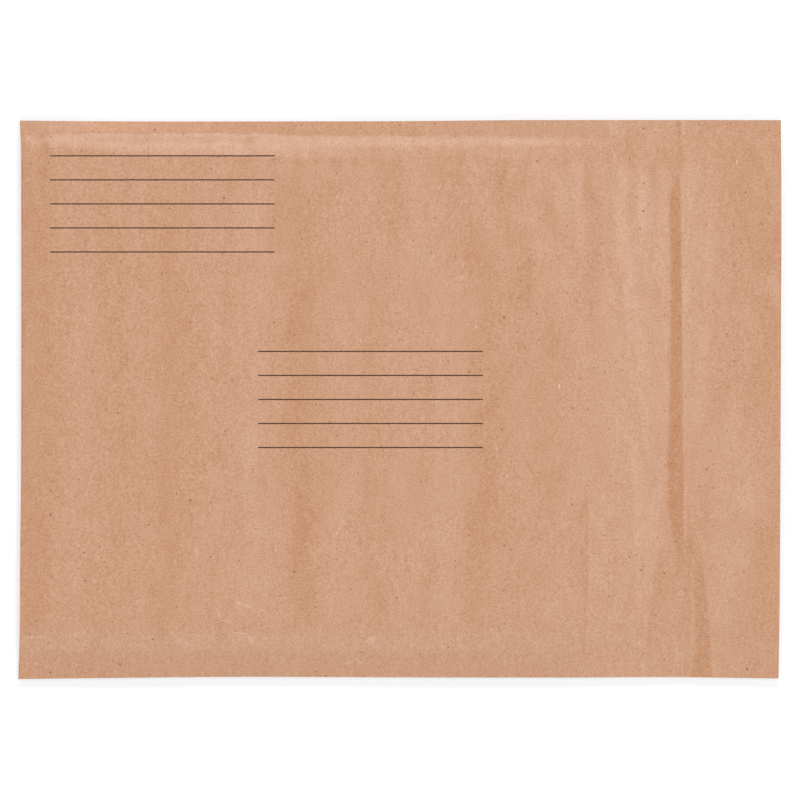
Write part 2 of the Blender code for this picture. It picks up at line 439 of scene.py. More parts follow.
def waves(x, y):
    """Soft waves, nearly across the bag, uneven along their length, with a finer random ripple."""
    height = np.zeros(np.broadcast(x, y).shape)
    rng = random.Random(5)
    for centre, top, bottom, half, slope, drift in WAVES:
        reach = window(y, row(bottom), row(top), WAVE_FADE)
        phases = [rng.uniform(0, FULL_TURN) for _ in range(4)]
        wander = swing(y, WAVE_WANDER, phases[:2])
        strength = slope * reach * (1 + swing(y, WAVE_UNEVEN, phases[2:]))
        middle = col(centre) + (row((top + bottom) / 2) - y) * drift / 100 + wander
        half_m = half * PIXEL
        own = streak(x - middle, half_m)
        ease = streak(x - middle, half_m * WAVE_RETURN) / WAVE_RETURN
        height = height + strength * (own - ease)
    rng = random.Random(11)
    for _ in range(RIPPLES):
        length = math.exp(rng.uniform(*(math.log(end) for end in RIPPLE_LENGTHS)))
        heading = rng.gauss(0, RIPPLE_SPREAD)
        phase = rng.uniform(0, FULL_TURN)
        turn = FULL_TURN / length
        size = RIPPLE_SLOPE * math.sqrt(2 / RIPPLES) / turn
        height = height + size * np.sin(turn * (x * math.cos(heading) + y * math.sin(heading)) + phase)
    return height


# Mouth end of the film, as (pixel row, pixel column). The paper drops past it, and slowly before it.
film_line = line(((120, 606), (150, 609), (215, 615), (300, 624), (450, 633), (560, 635), (678, 640)))
MOUTH_DROP = 0.00022
MOUTH_DROP_COLUMNS = (600, 658)
MOUTH_DROP_CORNER = 0.006
FILM_DROP = 0.00020
FILM_DROP_WIDTH = 0.0030

# Ridges that climb evenly from their left to a sharp crest and fall off slowly on their right, each as
# (pixel row, pixel column of the crest, climb in mm, its width in pixels, fall in mm)
CREST_FADE = 0.0085  # the fall on the right takes about this distance
FOOT_FADE = 0.026  # the ground falls to the foot of the climb over this distance
CREST_CORNER = 0.0006
FLAP_CREASE = (
    (120, 682.0, 0.03, 5, 0.15),
    (150, 681.5, 0.10, 5, 0.20),
    (182, 680.3, 0.28, 6, 0.36),
    (200, 679.8, 0.80, 10, 0.46),
    (260, 680.6, 0.80, 9.2, 0.52),
    (330, 681.2, 0.84, 10, 0.50),
    (410, 682.0, 0.90, 12, 0.40),
    (470, 682.6, 0.98, 14.5, 0.26),
    (530, 683.0, 0.72, 11, 0.12),
    (552, 683.2, 0.30, 6, 0.05),
    (566, 683.2, 0.03, 4, 0.00),
    (600, 682.0, 0.00, 8, 0.00),
    (678, 682.0, 0.00, 8, 0.00),
)
LOWER_CREASE = (
    (120, 686.0, 0.00, 5, 0.00),
    (480, 687.0, 0.00, 6, 0.00),
    (520, 692.0, 0.10, 7, 0.03),
    (560, 701.0, 0.38, 12, 0.20),
    (600, 706.5, 0.68, 13, 0.36),
    (640, 709.6, 0.78, 14, 0.42),
    (678, 711.5, 0.90, 21, 0.42),
)

# Small folds: pixel rows from and to, pixel columns there, height in mm, width in mm on the left and on
# the right
FOLD_FADE = 0.006
FOLDS = (
    (480, 553, 684, 683, 0.15, 4.5, 1.1),
    (568, 606, 679.5, 679, 0.08, 9.0, 1.0),
    (550, 655, 691, 692, 0.16, 2.2, 0.8),
    (490, 606, 588.5, 588, 0.28, 3.0, 14.0),
    (600, 664, 585.6, 584.6, 0.12, 0.5, 3.5),
    (545, 650, 660, 642, -0.34, 3.5, 6.5),
    (560, 645, 656, 641, -0.15, 3.0, 2.0),
    (578, 640, 634, 611, -0.18, 2.4, 1.7),
    (598, 652, 650, 647, -0.13, 5.0, 2.2),
    (638, 690, 676.5, 675.5, 0.21, 9.0, 2.4),
    (120, 200, 608, 622, 0.16, 1.0, 1.8),
    (200, 470, 621, 645, 0.07, 1.3, 2.4),
    (112, 172, 679.6, 684.4, 0.19, 1.0, 1.4),
    (130, 190, 752, 772, 0.22, 4.0, 3.0),
    (265, 312, 777, 780, -0.40, 2.5, 3.0),
)
# Short dents and wrinkles: pixel column and row, reach along and across in pixels, heading in degrees,
# height in metres
WRINKLES = (
    (240, 603, 9, 3.0, -20, 0.00010),
    (224, 622, 12, 3.5, -35, 0.00010),
    (186, 641, 16, 3.5, -6, 0.00016),
    (246, 634, 14, 4.0, 25, 0.00012),
    (365, 640, 12, 4.0, 15, 0.00014),
    (35, 640, 14, 5.0, 0, 0.00014),
    (110, 645, 22, 5.0, 2, 0.00010),
    (450, 644, 22, 4.0, -4, 0.00010),
    (520, 646, 20, 4.0, 4, 0.00010),
    (283, 142, 5, 2.5, 60, -0.00012),
    (409, 147, 5, 2.5, -50, -0.00012),
    (626, 149, 11, 6.5, 80, -0.00030),
    (655, 151, 10, 7.0, 80, -0.00026),
    (779, 286, 9, 5.0, 90, -0.00020),
    (455, 600, 30, 7.0, 70, 0.00012),
    (330, 612, 24, 6.0, 60, 0.00010),
    (610, 610, 26, 6.0, 75, 0.00012),
    (712, 520, 30, 8.0, 85, 0.00010),
)


def cusp(u, left, right):
    """A ridge that is sharp at its top."""
    return np.where(u < 0, np.exp(np.minimum(u, 0) / left), np.exp(-np.maximum(u, 0) / right))


def crest(x, y, table):
    """Height of one of the long creases of the flap."""
    values = np.array(table, float)[::-1]
    places = row(values[:, 0])
    column, climb, width, fall = (smooth_interp(y, places, values[:, n]) for n in range(1, 5))
    u = x - col(column)
    width = width * PIXEL
    foot = np.exp(np.minimum(u + width, 0) / FOOT_FADE)
    left = MM * climb * foot * (ramp(u + width, width, CREST_CORNER) - 1)
    right = MM * fall * (np.exp(-np.maximum(u, 0) / CREST_FADE) - 1)
    return np.where(u < 0, left, right)


def mouth_zone(x, y):
    """Drop of the unpadded paper past the film, and the creases of the flap."""
    start, end = MOUTH_DROP_COLUMNS
    height = -MOUTH_DROP * ramp(x - col(start), col(end) - col(start), MOUTH_DROP_CORNER)
    past = np.maximum(x - film_line(y), 0)
    height = height - FILM_DROP * (1 - np.exp(-past / FILM_DROP_WIDTH))
    return height + crest(x, y, FLAP_CREASE) + crest(x, y, LOWER_CREASE)


def small_folds(x, y):
    """Folds, dents and wrinkles at their own places."""
    height = np.zeros(np.broadcast(x, y).shape)
    for top, bottom, top_column, bottom_column, size, left, right in FOLDS:
        reach = window(y, row(bottom) + FOLD_FADE, row(top) - FOLD_FADE, FOLD_FADE)
        along = np.clip((row(top) - y) / (row(top) - row(bottom)), 0, 1)
        middle = col(top_column) + (col(bottom_column) - col(top_column)) * along
        height = height + MM * size * reach * cusp(x - middle, MM * left, MM * right)
    for centre_x, centre_y, along, across, heading, size in WRINKLES:
        turn = math.radians(heading)
        dx, dy = x - col(centre_x), y - row(centre_y)
        lengthwise = (dx * math.cos(turn) + dy * math.sin(turn)) / (along * PIXEL)
        crosswise = (dy * math.cos(turn) - dx * math.sin(turn)) / (across * PIXEL)
        height = height + size * np.exp(-(lengthwise**2) - crosswise**2)
    return height


def front_height(x, y):
    """Middle of the address panel's paper, and of the flap."""
    lift = seam_lift(x, y)
    pad = padding(np.minimum(x, X_CREASE), y, FRONT_RISE - lift)
    loose = np.clip(LOOSE_GAIN * pad / PAD_HEIGHT + LOOSE_SEAM, 0, 1)
    detail = loose * waves(x, y) + mouth_zone(x, y) + small_folds(x, y)
    tilt = FLAP_RISE * np.maximum(x - X_CREASE, 0) / FLAP_LENGTH
    return SEAM_HEIGHT + FOLD_RADIUS + lift + pad + detail + tilt


def back_height(x, y):
    """Middle of the back panel's paper. It hangs between its two seams, which lie on the front's, and
    from the fold, and the table stops it."""
    arch = rise(Y_FAR - y, BACK_FAR) * rise(y - Y_NEAR, BACK_NEAR) * rise(x - X_BAND, BACK_END)
    fold = padding(np.full_like(x, X_FOLD), y, PAD_HEIGHT)
    fold = fold * (1 - step(x, X_BAND, X_BAND + BACK_FOLD_REACH))
    near_seam = front_height(x, np.minimum(y, Y_NEAR))
    far_seam = front_height(x, np.maximum(y, Y_FAR))
    share = np.clip((y - Y_NEAR) / (Y_FAR - Y_NEAR), 0, 1)
    seam = near_seam + (far_seam - near_seam) * share - 2 * FOLD_RADIUS + fold
    fall = BACK_PRESS * (seam - PAPER / 2) * arch
    return higher_of(seam - fall, PAPER / 2, BACK_LANDING)


def stations(bands):
    """Places along a line, from bands of (end, spacing); the first band only starts it."""
    places = [bands[0][0]]
    for end, spacing in bands[1:]:
        count = max(1, round((end - places[-1]) / spacing))
        start = places[-1]
        places += [start + (end - start) * n / count for n in range(1, count + 1)]
    return np.array(places)


# Mesh of the sheet: bands of (end, spacing), finer where the paper bends more
FRONT_COLUMNS = (
    (X_FOLD, 0),
    (X_CLOSED + 0.016, 0.0010),
    (float(col(578)), 0.0020),
    (float(col(592)), 0.00035),
    (float(col(610)), 0.0014),
    (float(col(664)), 0.0010),
    (float(col(714)), 0.00052),
    (X_TIP, 0.0018),
)
BACK_COLUMNS = ((X_FOLD, 0), (X_CLOSED + 0.03, 0.002), (X_MOUTH - 0.02, 0.0078), (X_MOUTH, 0.004))
ROWS = (
    (-WIDTH / 2, 0),
    (-WIDTH / 2 + 0.030, 0.0013),
    (WIDTH / 2 - 0.030, 0.0021),
    (WIDTH / 2 - 0.018, 0.0014),
    (WIDTH / 2, 0.0008),
)
FOLD_STEPS = 8


def sheet_grid():
    """Middle surface of the whole folded sheet, as an array of columns by rows of points."""
    v = stations(ROWS)[None, :]
    back_u = stations(BACK_COLUMNS)[::-1][:, None]
    front_u = stations(FRONT_COLUMNS)[:, None]
    x, y = placed(back_u, v)
    back = np.stack([x, y + 0 * x, back_height(x, y)], -1)
    x, y = placed(front_u, v)
    front = np.stack([x, y + 0 * x, front_height(x, y)], -1)
    turns = np.linspace(0, math.pi, FOLD_STEPS + 1)[1:-1][:, None]
    low, high = back[-1], front[0]
    middle = (low[:, 2] + high[:, 2]) / 2
    x = np.broadcast_to(low[:, 0], (len(turns), low.shape[0])) - FOLD_RADIUS * np.sin(turns)
    z = middle - (high[:, 2] - low[:, 2]) / 2 * np.cos(turns)
    fold = np.stack([x, np.broadcast_to(low[:, 1], x.shape), z], -1)
    return np.concatenate([back, fold, front])


def normals_of(grid):
    """Unit normals of a grid of points."""
    along = np.gradient(grid, axis=0)
    across = np.gradient(grid, axis=1)
    normal = np.cross(along, across)
    return normal / np.linalg.norm(normal, axis=-1, keepdims=True)


def thick_sheet(grid, above, below):
    """Points and faces of a closed sheet round this middle surface."""
    normal = normals_of(grid)
    columns, rows = grid.shape[:2]
    count = columns * rows
    points = np.stack([grid + normal * above, grid - normal * below]).reshape(-1, 3)
    number = np.arange(count).reshape(columns, rows)
    quads = np.stack([number[:-1, :-1], number[1:, :-1], number[1:, 1:], number[:-1, 1:]], -1)
    quads = quads.reshape(-1, 4)
    rim = np.concatenate([number[:-1, 0], number[-1, :-1], number[:0:-1, -1], number[0, :0:-1]])
    after = np.roll(rim, -1)
    sides = np.stack([rim, rim + count, after + count, after], -1)
    return points, np.concatenate([quads, quads[:, ::-1] + count, sides])


SHARP_DEGREES = 50


def add_mesh(name, points, faces, look):
    """New object of these points and faces, smooth but for its sharp edges."""
    mesh = bpy.data.meshes.new(name)
    mesh.from_pydata(points.tolist(), [], [list(f) for f in faces])
    mesh.materials.append(look)
    mesh.shade_smooth()
    mesh.set_sharp_from_angle(angle=math.radians(SHARP_DEGREES))
    mesh.update()
    made = bpy.data.objects.new(name, mesh)
    bpy.context.scene.collection.objects.link(made)
    return made


SPECK_EDGE = 0.35  # soft share of a speck's radius


class Look:
    """Small helper that builds one material's nodes."""

    def __init__(self, name):
        self.material = bpy.data.materials.new(name)
        self.material.use_nodes = True
        self.tree = self.material.node_tree
        self.shader = self.tree.nodes["Principled BSDF"]
        self.place = self.new("ShaderNodeTexCoord").outputs["Object"]

    def new(self, kind, **settings):
        """Add a node."""
        made = self.tree.nodes.new(kind)
        for key, value in settings.items():
            setattr(made, key, value)
        return made

    def put(self, socket, value):
        """Link an output to a socket, or set the socket's own value."""
        if isinstance(value, bpy.types.NodeSocket):
            self.tree.links.new(value, socket)
        else:
            socket.default_value = value

    def math(self, operation, a, b=0.0, c=0.0, clamp=False):
        """One sum on values or outputs."""
        made = self.new("ShaderNodeMath", operation=operation, use_clamp=clamp)
        for socket, value in zip(made.inputs, (a, b, c)):
            self.put(socket, value)
        return made.outputs[0]

    def product(self, *factors):
        """Two or more values multiplied."""
        result = factors[0]
        for factor in factors[1:]:
            result = self.math("MULTIPLY", result, factor)
        return result

    def separate(self, vector):
        """X, Y and Z of a vector."""
        made = self.new("ShaderNodeSeparateXYZ")
        self.put(made.inputs[0], vector)
        return made.outputs

    def stretched(self, stretch):
        """The object's coordinates, scaled along x and y and turned by an angle."""
        along, across, heading = stretch
        mapping = self.new("ShaderNodeMapping")
        self.put(mapping.inputs["Vector"], self.place)
        mapping.inputs["Rotation"].default_value = (0, 0, heading)
        mapping.inputs["Scale"].default_value = (along, across, 1)
        return mapping.outputs[0]

    def noise(self, scale, detail=2.0, roughness=0.5, stretch=None):
        """Noise between 0 and 1 that mostly stays near 0.5."""
        made = self.new("ShaderNodeTexNoise")
        self.put(made.inputs["Vector"], self.stretched(stretch) if stretch else self.place)
        made.inputs["Scale"].default_value = scale
        made.inputs["Detail"].default_value = detail
        made.inputs["Roughness"].default_value = roughness
        return made.outputs["Fac"]

    def remap(self, value, low, high, to_low, to_high):
        """Linear change of range, held at its ends."""
        made = self.new("ShaderNodeMapRange", clamp=True)
        for socket, setting in zip(made.inputs[:5], (value, low, high, to_low, to_high)):
            self.put(socket, setting)
        return made.outputs[0]

    def mix(self, share, a, b):
        """Colour a where the share is 0, b where it is 1."""
        made = self.new("ShaderNodeMix", data_type="RGBA")
        self.put(made.inputs["Factor"], share)
        self.put(made.inputs[6], a if isinstance(a, bpy.types.NodeSocket) else (*a, 1))
        self.put(made.inputs[7], b if isinstance(b, bpy.types.NodeSocket) else (*b, 1))
        return made.outputs[2]

    def scaled(self, colour, factor):
        """A colour made darker or paler."""
        made = self.new("ShaderNodeVectorMath", operation="SCALE")
        self.put(made.inputs[0], colour)
        self.put(made.inputs["Scale"], factor)
        return made.outputs[0]

    def specks(self, cell, least, size, stretch=(1, 1, 0)):
        """Mask of small spots, one at most in each cell, and only where the cell's draw is over least."""
        made = self.new("ShaderNodeTexVoronoi", voronoi_dimensions="2D", feature="F1")
        self.put(made.inputs["Vector"], self.stretched(stretch))
        made.inputs["Scale"].default_value = 1 / cell
        draw = self.new("ShaderNodeSeparateColor")
        self.put(draw.inputs[0], made.outputs["Color"])
        radius = self.remap(draw.outputs[0], least, 1.0, 0.0, size / cell)
        inside = self.math("SUBTRACT", radius, made.outputs["Distance"])
        return self.remap(inside, 0.0, SPECK_EDGE * size / cell, 0.0, 1.0)

    def bump(self, height, distance, strength, normal=None):
        """Normal bent by a height, on top of another one."""
        made = self.new("ShaderNodeBump")
        made.inputs["Strength"].default_value = strength
        made.inputs["Distance"].default_value = distance
        self.put(made.inputs["Height"], height)
        if normal:
            self.put(made.inputs["Normal"], normal)
        return made.outputs[0]


# Ruled lines, sizes in pixels: left and right column, row of the first, and how many
RULE_BLOCKS = ((50, 274.5, 155.86, 5), (258, 483, 351.4, 5))
RULE_PITCH = 24.03 * PIXEL
RULE_HALF = 0.61 * PIXEL
RULE_SOFT = 0.3 * PIXEL
PRINT_HEIGHT = 0.0045  # the print lies above this height, on the address panel only
PRINT_FACES_UP = 0.3  # least z of the normal where there is print, so not on the paper's inner side

KRAFT = (0.602, 0.286, 0.138)
GRAIN = (0.205, 0.405, 0.720)  # how far each channel swings with the grain
KRAFT_DARK = (0.24, 0.070, 0.010)  # small flecks
BARK = (0.10, 0.020, 0.004)  # large flecks
KRAFT_PALE = (0.80, 0.58, 0.42)  # pale fibres, and pale marks on the wrinkles that are rubbed paper and painted highlights
INK = (0.030, 0.004, 0.001)
KRAFT_SPECULAR = 0.90
KRAFT_ROUGHNESS = 0.40
INK_ROUGHNESS = 0.95  # of the print and of the dark flecks too
# Grain, fibres and mottle: scale, detail and roughness of the noise, its range, strength, stretch
KRAFT_NOISES = (
    (1350, 2.0, 0.6, (0.25, 0.75), 1.12, None),
    (520, 2.0, 0.6, (0.3, 0.7), 0.24, (1.0, 0.35, 0.2)),
    (95, 3.0, 0.55, (0.3, 0.7), 0.11, None),
)
GRAIN_SHARE = 0.35  # of the way from the middle tone to the deepest or palest, for a grain of 1
NEAR_SEAM_SHADE = 0.026  # how much painted shade darkens the near seam, which slopes away from the light
BAND_EDGE = 0.0006  # the near seam's painted shade and the far seam's tone fade out over this distance inside the seam
BAND_FADE = 0.0010  # and over this on the seam
BAND_END = (570, 602)  # pixel columns between which the near seam's painted shade ends
# The far seam's tone is paler by the first of these on its left and by the second on its right
FAR_BAND_PALER = (0.085, 0.035)
FAR_BAND_TURN = (150, 230)  # pixel columns between which that changes
FAR_BAND_START = (60, 92)  # pixel columns between which it starts
FAR_BAND_END = (400, 450)  # pixel columns between which it ends
FAR_BAND_AFTER = -0.3  # share of it after that, where the seam is darker
# Dark flecks: distance apart, least draw, radius
DARK_FLECKS = (0.0030, 0.90, 0.00050)
BARK_FLECKS = (0.015, 0.60, 0.00060)
FLECK_STRENGTH = 0.60
# Pale fibres: distance apart in metres, heading in radians, strength
PALE_FIBRES = ((0.013, 0.6, 0.36), (0.015, -0.9, 0.36), (0.0085, 0.1, 0.36), (0.032, 0.35, 0.95))
FIBRE_LEAST = 0.55
FIBRE_RADIUS = 0.00040
FIBRE_WIDTH = 0.30  # a fibre is as much longer than wide as 1 over this
# Pale marks on the wrinkles, rubbed paper with painted highlights of their crests: pixel column and row,
# half length and half width in pixels, heading in degrees
RUB_AND_HIGHLIGHT_STRENGTH = 0.36
RUBS_AND_HIGHLIGHTS = (
    (240, 603, 4, 1.6, -20),
    (247, 606, 5, 1.2, -25),
    (185, 643, 9, 1.2, -12),
    (219, 614, 6, 1.3, -60),
    (226, 621, 6, 1.2, -12),
    (240, 633, 8, 1.1, -6),
    (251, 640, 5, 2.0, -60),
    (371, 640, 7, 2.2, 24),
    (36, 637, 10, 1.4, 0),
    (348, 663, 6, 1.2, 15),
    (357, 660, 5, 1.2, -30),
)


def between(look, x, columns, before, after):
    """Value that changes between two pixel columns."""
    start, end = (float(col(pixel)) for pixel in columns)
    return look.remap(x, start, end, before, after)


def ruled(look, x, y, block):
    """Mask of one block of ruled lines."""
    left, right, first, count = block
    top = float(row(first)) + RULE_PITCH / 2
    down = look.math("SUBTRACT", top, y)
    below_top = look.math("GREATER_THAN", down, 0.0)
    above_end = look.math("LESS_THAN", down, count * RULE_PITCH)
    within = look.math("MODULO", down, RULE_PITCH)
    nearest = look.math("ABSOLUTE", look.math("SUBTRACT", within, RULE_PITCH / 2))
    on_line = look.remap(nearest, RULE_HALF - RULE_SOFT, RULE_HALF + RULE_SOFT, 1.0, 0.0)
    left, right = float(col(left)), float(col(right))
    start = look.remap(x, left - RULE_SOFT, left + RULE_SOFT, 0.0, 1.0)
    end = look.remap(x, right - RULE_SOFT, right + RULE_SOFT, 1.0, 0.0)
    return look.product(below_top, above_end, on_line, start, end)


def rubs_and_highlights(look, x, y):
    """Mask of the pale marks on the wrinkles, rubbed paper and painted highlights of their crests, broken
    up by the grain.
    """
    marks = None
    for centre_x, centre_y, along, across, heading in RUBS_AND_HIGHLIGHTS:
        turn = math.radians(heading)
        dx = look.math("SUBTRACT", x, float(col(centre_x)))
        dy = look.math("SUBTRACT", y, float(row(centre_y)))
        lengthwise, crosswise = (
            look.math("MULTIPLY_ADD", dx, a / reach, look.math("MULTIPLY", dy, b / reach))
            for a, b, reach in (
                (math.cos(turn), math.sin(turn), along * PIXEL),
                (-math.sin(turn), math.cos(turn), across * PIXEL),
            )
        )
        square = look.math("MULTIPLY", crosswise, crosswise)
        square = look.math("MULTIPLY_ADD", lengthwise, lengthwise, square)
        mark = look.remap(square, 0.2, 1.6, 1.0, 0.0)
        marks = look.math("MAXIMUM", marks, mark) if marks else mark
    return look.math("MULTIPLY", marks, look.remap(look.noise(1100, 2.0, 0.6), 0.35, 0.55, 0.0, 1.0))


def seam_tones_and_shade(look, x, y):
    """Factor on the paper's colour: painted shade darkens the near seam, which slopes away from the
    light, and the far one is paler.
    """
    # painted shade on the near seam
    on_near = look.remap(y, Y_NEAR - BAND_FADE, Y_NEAR + BAND_EDGE, NEAR_SEAM_SHADE, 0.0)
    beside = between(look, x, BAND_END, 1.0, 0.0)
    on_far = look.remap(y, Y_FAR - BAND_EDGE, Y_FAR + BAND_FADE, 0.0, 1.0)
    paler = look.product(
        between(look, x, FAR_BAND_TURN, *FAR_BAND_PALER),
        between(look, x, FAR_BAND_END, 1.0, FAR_BAND_AFTER),
        between(look, x, FAR_BAND_START, 0.0, 1.0),
    )
    near = look.math("SUBTRACT", 1.0, look.product(on_near, beside))
    return look.math("MULTIPLY_ADD", on_far, paler, near)


def print_mask(look, x, y, z):
    """Mask of all ruled lines, on the outside of the address panel only, and a little worn."""
    lines = look.math("MAXIMUM", *(ruled(look, x, y, block) for block in RULE_BLOCKS))
    facing = look.separate(look.new("ShaderNodeNewGeometry").outputs["True Normal"])
    outside = look.math("GREATER_THAN", facing[2], PRINT_FACES_UP)
    on_front = look.math("GREATER_THAN", z, PRINT_HEIGHT)
    worn = look.remap(look.noise(900), 0.2, 0.5, 0.88, 1.0)
    return look.product(lines, look.product(outside, on_front), worn)


def kraft_look():
    """Brown kraft paper with its grain, flecks, pale fibres, pale rubbed marks with painted highlights,
    and ruled lines.
    """
    look = Look("kraft paper")
    shader = look.shader
    shader.inputs["Specular IOR Level"].default_value = KRAFT_SPECULAR
    x, y, z = look.separate(look.place)
    swings = [
        look.remap(look.noise(scale, detail, rough, stretch), *ends, -much, much)
        for scale, detail, rough, ends, much, stretch in KRAFT_NOISES
    ]
    grain = look.math("ADD", look.math("ADD", swings[0], swings[1]), swings[2])
    share = look.math("MULTIPLY_ADD", grain, GRAIN_SHARE, 0.5, clamp=True)
    deep = tuple(c * (1 - g) for c, g in zip(KRAFT, GRAIN))
    light = tuple(c * (1 + g) for c, g in zip(KRAFT, GRAIN))
    # the near seam's darkening in this factor is painted shade
    colour = look.scaled(look.mix(share, deep, light), seam_tones_and_shade(look, x, y))
    dark = look.product(look.specks(*DARK_FLECKS), FLECK_STRENGTH)
    colour = look.mix(dark, colour, KRAFT_DARK)
    big = look.product(look.specks(*BARK_FLECKS), FLECK_STRENGTH)
    colour = look.mix(big, colour, BARK)
    # pale marks on the wrinkles: rubbed paper and painted highlights of their crests
    colour = look.mix(look.product(rubs_and_highlights(look, x, y), RUB_AND_HIGHLIGHT_STRENGTH), colour, KRAFT_PALE)
    for cell, heading, strength in PALE_FIBRES:
        pale = look.specks(cell, FIBRE_LEAST, FIBRE_RADIUS, stretch=(1.0, FIBRE_WIDTH, heading))
        colour = look.mix(look.product(pale, strength), colour, KRAFT_PALE)
    printed = print_mask(look, x, y, z)
    look.put(shader.inputs["Base Color"], look.mix(printed, colour, INK))
    matt = look.math("MAXIMUM", printed, look.math("MAXIMUM", dark, big))
    look.put(shader.inputs["Roughness"], look.remap(matt, 0.0, 1.0, KRAFT_ROUGHNESS, INK_ROUGHNESS))
    tooth = look.bump(look.noise(1500, 3.0, 0.6), 0.00004, 0.5)
    cockle = look.bump(look.noise(210, 3.0, 0.5), 0.00010, 0.6, tooth)
    look.put(shader.inputs["Normal"], cockle)
    return look.material


FILM = (0.86, 0.89, 0.91)
FILM_ALPHA = 0.85
GLUE = (0.74, 0.62, 0.40)
GLUE_ROUGHNESS = 0.24
RELEASE_PAPER = (0.84, 0.84, 0.81)


def film_look():
    """Clear film, a little hazy and uneven."""
    look = Look("bubble film")
    shader = look.shader
    shader.inputs["Base Color"].default_value = (*FILM, 1)
    haze = look.remap(look.noise(60, 3.0, 0.6), 0.3, 0.7, 0.08, 0.22)
    look.put(shader.inputs["Roughness"], haze)
    shader.inputs["Alpha"].default_value = FILM_ALPHA
    ripple = look.bump(look.noise(420, 2.0, 0.5), 0.0002, 0.5)
    look.put(shader.inputs["Normal"], ripple)
    return look.material


def glue_look():
    """Glossy adhesive, spread in streaks across the flap."""
    look = Look("hot-melt adhesive")
    shader = look.shader
    tone = look.remap(look.noise(160, 3.0, 0.6), 0.3, 0.7, 0.92, 1.06)
    look.put(shader.inputs["Base Color"], look.scaled(GLUE, tone))
    shader.inputs["Roughness"].default_value = GLUE_ROUGHNESS
    streaks = look.noise(260, 2.0, 0.5, stretch=(1.0, 0.08, 0.0))
    look.put(shader.inputs["Normal"], look.bump(streaks, 0.00012, 0.7))
    return look.material


def liner_look():
    """Smooth off-white release paper."""
    look = Look("release paper")
    shader = look.shader
    tone = look.remap(look.noise(380, 3.0, 0.6), 0.3, 0.7, 0.965, 1.02)
    look.put(shader.inputs["Base Color"], look.scaled(RELEASE_PAPER, tone))
    sheen = look.remap(look.noise(70, 2.0), 0.3, 0.7, 0.30, 0.42)
    look.put(shader.inputs["Roughness"], sheen)
    look.put(shader.inputs["Normal"], look.bump(look.noise(900, 2.0, 0.5), 0.00005, 0.5))
    return look.material


# Bubble film
FILM_SETBACK = 0.007  # from the seams and from the pressed band
FILM_STOP = 0.0048  # from the back panel's mouth edge
FILM_SKIN = 0.00008
FILM_GAP = 0.00012  # between film and paper
FILM_SPACING = 0.003
BUBBLE_PITCH = 0.0115
BUBBLE_RADIUS = 0.0049
BUBBLE_HEIGHT = 0.0029
LEAST_BUBBLE = 0.0006
BUBBLE_MARGIN = (0.0004, 0.001)  # from the film's mouth end and from its side
BUBBLE_SIDES = 14
BUBBLE_PROFILE = ((1.0, 0.0), (0.99, 0.45), (0.90, 0.80), (0.62, 0.96))  # share of radius and of height
LEAST_GAPE = 0.0004  # between the bubbles of the two walls


def wall_room(x, y):
    """Height there is for one wall of bubbles."""
    room = front_height(x, y) - back_height(x, y) - PAPER - 2 * (FILM_GAP + FILM_SKIN)
    return np.maximum(0.0, (room - LEAST_GAPE) / 2)


def film_face(x, y, up):
    """Inner face of the lower film sheet (up = 1) or of the upper one (up = -1)."""
    offset = PAPER / 2 + FILM_GAP + FILM_SKIN
    return back_height(x, y) + offset if up > 0 else front_height(x, y) - offset


def bubble_centres(box, shift):
    """Close-packed places for bubbles, in rows that end at the mouth."""
    x_start, x_end, y_start, y_end = box
    spacing = BUBBLE_PITCH * math.sqrt(0.75)
    centres = []
    for n in range(int((y_end - y_start) / spacing)):
        y = y_start + BUBBLE_RADIUS + BUBBLE_MARGIN[1] + n * spacing
        x = x_end - BUBBLE_RADIUS - BUBBLE_MARGIN[0] - ((n + shift) % 2) * BUBBLE_PITCH / 2
        while x > x_start + BUBBLE_RADIUS and y < y_end - BUBBLE_RADIUS:
            centres.append((x, y))
            x -= BUBBLE_PITCH
    return np.array(centres)


def bubbles(box, up):
    """Points and faces of all the closed bubbles that stand on one film sheet."""
    centres = bubble_centres(box, 0 if up > 0 else 1)
    rng = np.random.default_rng(7 if up > 0 else 8)
    reach = BUBBLE_RADIUS * np.array([(0, 0), (1, 0), (0, 1), (-1, 0), (0, -1)])
    around = centres[:, None, :] + reach[None, :, :]
    room = wall_room(around[..., 0], around[..., 1]).min(axis=1)
    heights = np.minimum(BUBBLE_HEIGHT * rng.uniform(0.92, 1.0, len(centres)), room)
    tall = heights > LEAST_BUBBLE
    centres, heights = centres[tall], heights[tall]
    rings, sides = len(BUBBLE_PROFILE), BUBBLE_SIDES
    turn = FULL_TURN * np.arange(sides) / sides
    widths = np.array([w for w, _ in BUBBLE_PROFILE]) * BUBBLE_RADIUS
    levels = np.array([level for _, level in BUBBLE_PROFILE])
    x = centres[:, 0, None, None] + widths[None, :, None] * np.cos(turn)[None, None, :]
    y = centres[:, 1, None, None] + widths[None, :, None] * np.sin(turn)[None, None, :]
    z = film_face(x, y, up) + up * heights[:, None, None] * levels[None, :, None]
    walls = np.stack([x, y, z], -1).reshape(len(centres), -1, 3)
    crest = film_face(centres[:, 0], centres[:, 1], up) + up * heights
    crests = np.column_stack([centres, crest])[:, None, :]
    points = np.concatenate([walls, crests], axis=1)
    one = []
    for ring in range(rings - 1):
        for n in range(sides):
            a, b = ring * sides + n, ring * sides + (n + 1) % sides
            one.append((a, b, b + sides, a + sides))
    last = (rings - 1) * sides
    one += [(last + n, last + (n + 1) % sides, rings * sides) for n in range(sides)]
    one.append(tuple(range(sides))[::-1])
    if up < 0:
        one = [face[::-1] for face in one]
    each = points.shape[1]
    faces = [tuple(i + each * n for i in face) for n in range(len(centres)) for face in one]
    return points.reshape(-1, 3), faces


